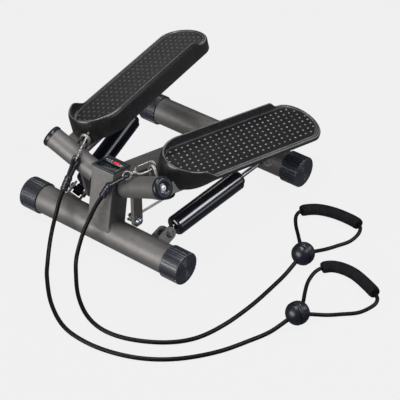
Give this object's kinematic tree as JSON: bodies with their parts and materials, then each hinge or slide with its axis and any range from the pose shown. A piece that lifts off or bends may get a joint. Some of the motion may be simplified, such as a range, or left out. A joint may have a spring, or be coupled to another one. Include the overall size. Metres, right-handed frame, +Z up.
{
  "type": "twist stepper",
  "caption": "Low exercise stepper with rocking tray pedals on tilted sleeves, hydraulic dampers, cable-linked levers and clip-on elastic pull bands.",
  "frame": {"origin": "on the floor at the centre of the machine's footprint, without the loose bands", "axes": "+Z up, +Y from the post towards the rear stabiliser, +X towards the right-hand pedal"},
  "size_m": [0.6266, 0.5993, 0.206],
  "materials": {
    "frame_paint": "semi-gloss dark bronze-grey paint",
    "black_rubber": "satin black rubber",
    "tray_plastic": "satin black, fine grain",
    "dark_plastic": "dark slate, semi-gloss",
    "gloss_black": "high-gloss black",
    "chrome": "polished",
    "zinc": "bright zinc plate",
    "steel_cable": "bright stranded wire",
    "nickel": "nickel plate",
    "screen_glass": "dark display window, glossy",
    "red_plastic": "red, glossy",
    "foam": "closed-cell foam, matt black"
  },
  "bodies": {
    "frame": {"front_stabiliser": "frame_paint", "rear_stabiliser": "frame_paint", "front_cap_left": "black_rubber", "front_cap_right": "black_rubber", "rear_cap_left": "black_rubber", "rear_cap_right": "black_rubber", "front_post": "frame_paint", "centre_beam": "frame_paint", "monitor_housing": "dark_plastic", "monitor_screen": "screen_glass", "pulley_bolt": "zinc", "cable_wrap": "steel_cable", "axle_right": "zinc", "axle_bolt_right": "zinc", "bush_inner_right": "dark_plastic", "damper_bracket_right": "frame_paint", "damper_pin_right": "zinc", "cable_run_right": "steel_cable", "band_tube_right": "black_rubber", "band_ball_right": "gloss_black", "handle_cord_right": "black_rubber", "handle_grip_right": "foam", "axle_left": "zinc", "axle_bolt_left": "zinc", "bush_inner_left": "dark_plastic", "damper_bracket_left": "frame_paint", "damper_pin_left": "zinc", "cable_run_left": "steel_cable", "band_tube_left": "black_rubber", "band_ball_left": "gloss_black", "handle_cord_left": "black_rubber", "handle_grip_left": "foam"},
    "right_pedal_assembly": {"sleeve_right": "frame_paint", "bush_outer_right": "dark_plastic", "arm_right": "frame_paint", "pedal_right": "tray_plastic", "lever_right": "frame_paint", "lever_bolt_right": "zinc", "hook_eye_right": "nickel", "snap_hook_right": "nickel", "rod_bracket_right": "frame_paint", "band_ferrule_right": "dark_plastic"},
    "right_gate": {"snap_gate_right": "nickel"},
    "right_damper_body": {"damper_cylinder_right": "gloss_black"},
    "right_damper_rod": {"damper_rod_right": "chrome"},
    "left_pedal_assembly": {"sleeve_left": "frame_paint", "bush_outer_left": "dark_plastic", "arm_left": "frame_paint", "pedal_left": "tray_plastic", "lever_left": "frame_paint", "lever_bolt_left": "zinc", "hook_eye_left": "nickel", "snap_hook_left": "nickel", "rod_bracket_left": "frame_paint", "band_ferrule_left": "dark_plastic"},
    "left_gate": {"snap_gate_left": "nickel"},
    "left_damper_body": {"damper_cylinder_left": "gloss_black"},
    "left_damper_rod": {"damper_rod_left": "chrome"},
    "pulley": {"pulley_wheel": "dark_plastic"},
    "button": {"monitor_button": "red_plastic"}
  },
  "joints": [
    {"name": "right_pedal_swing", "type": "hinge", "parent": "frame", "child": "right_pedal_assembly", "pos_m": [0.06458, -0.16469, 0.1388], "axis": [0.8867, -0.1089, 0.4493], "range_deg": [-2, 14], "deforming": ["cable_run_right", "band_tube_right"]},
    {"name": "left_pedal_swing", "type": "hinge", "parent": "frame", "child": "left_pedal_assembly", "pos_m": [-0.07902, -0.16469, 0.1388], "axis": [0.8867, 0.1089, -0.4493], "range_deg": [-14.1, 2.1], "deforming": ["cable_run_left", "band_tube_left"]},
    {"name": "right_damper_swing", "type": "hinge", "parent": "frame", "child": "right_damper_body", "pos_m": [0.08848, -0.13879, 0.0397], "axis": [0.8598, -0.2167, 0.4624], "range_deg": [-2.1, 14.4]},
    {"name": "right_rod_slide", "type": "slide", "parent": "right_damper_body", "child": "right_damper_rod", "axis": [0.1639, 0.9747, 0.1519], "range_m": [-0.0037, 0.0249]},
    {"name": "left_damper_swing", "type": "hinge", "parent": "frame", "child": "left_damper_body", "pos_m": [-0.10292, -0.13879, 0.0397], "axis": [0.8598, 0.2167, -0.4624], "range_deg": [-14.4, 2.2]},
    {"name": "left_rod_slide", "type": "slide", "parent": "left_damper_body", "child": "left_damper_rod", "axis": [-0.048, 0.9358, 0.3491], "range_m": [-0.0249, 0.0037]},
    {"name": "pulley_turn", "type": "hinge", "parent": "frame", "child": "pulley", "pos_m": [-0.00722, -0.04439, 0.02933], "axis": [0, 0.2689, 0.9632], "range_deg": [-4, 25.2]},
    {"name": "button_press", "type": "slide", "parent": "frame", "child": "button", "axis": [0, -0.1891, -0.982], "range_m": [0, 0.0011], "stiffness_N_per_m": 400, "springref_m": -0.0003},
    {"name": "right_gate_swing", "type": "hinge", "parent": "right_pedal_assembly", "child": "right_gate", "pos_m": [0.04591, -0.15381, 0.16496], "axis": [0.6991, -0.543, 0.4651], "range_deg": [-20, 0], "stiffness_Nm_per_rad": 0.02, "springref_deg": 2.86},
    {"name": "left_gate_swing", "type": "hinge", "parent": "left_pedal_assembly", "child": "left_gate", "pos_m": [-0.06205, -0.16307, 0.1669], "axis": [0.8172, 0.4049, -0.4101], "range_deg": [-20, 0], "stiffness_Nm_per_rad": 0.02, "springref_deg": 2.86}
  ],
  "couplings": [
    {"joint": "left_pedal_swing", "follows": "right_pedal_swing", "ratio": -1},
    {"joint": "right_damper_swing", "follows": "right_pedal_swing", "ratio": 1.02},
    {"joint": "right_rod_slide", "follows": "right_pedal_swing", "m_per_rad": 0.1009},
    {"joint": "left_damper_swing", "follows": "right_pedal_swing", "ratio": -1.0144},
    {"joint": "left_rod_slide", "follows": "right_pedal_swing", "m_per_rad": -0.10095},
    {"joint": "pulley_turn", "follows": "right_pedal_swing", "ratio": 1.7755}
  ]
}
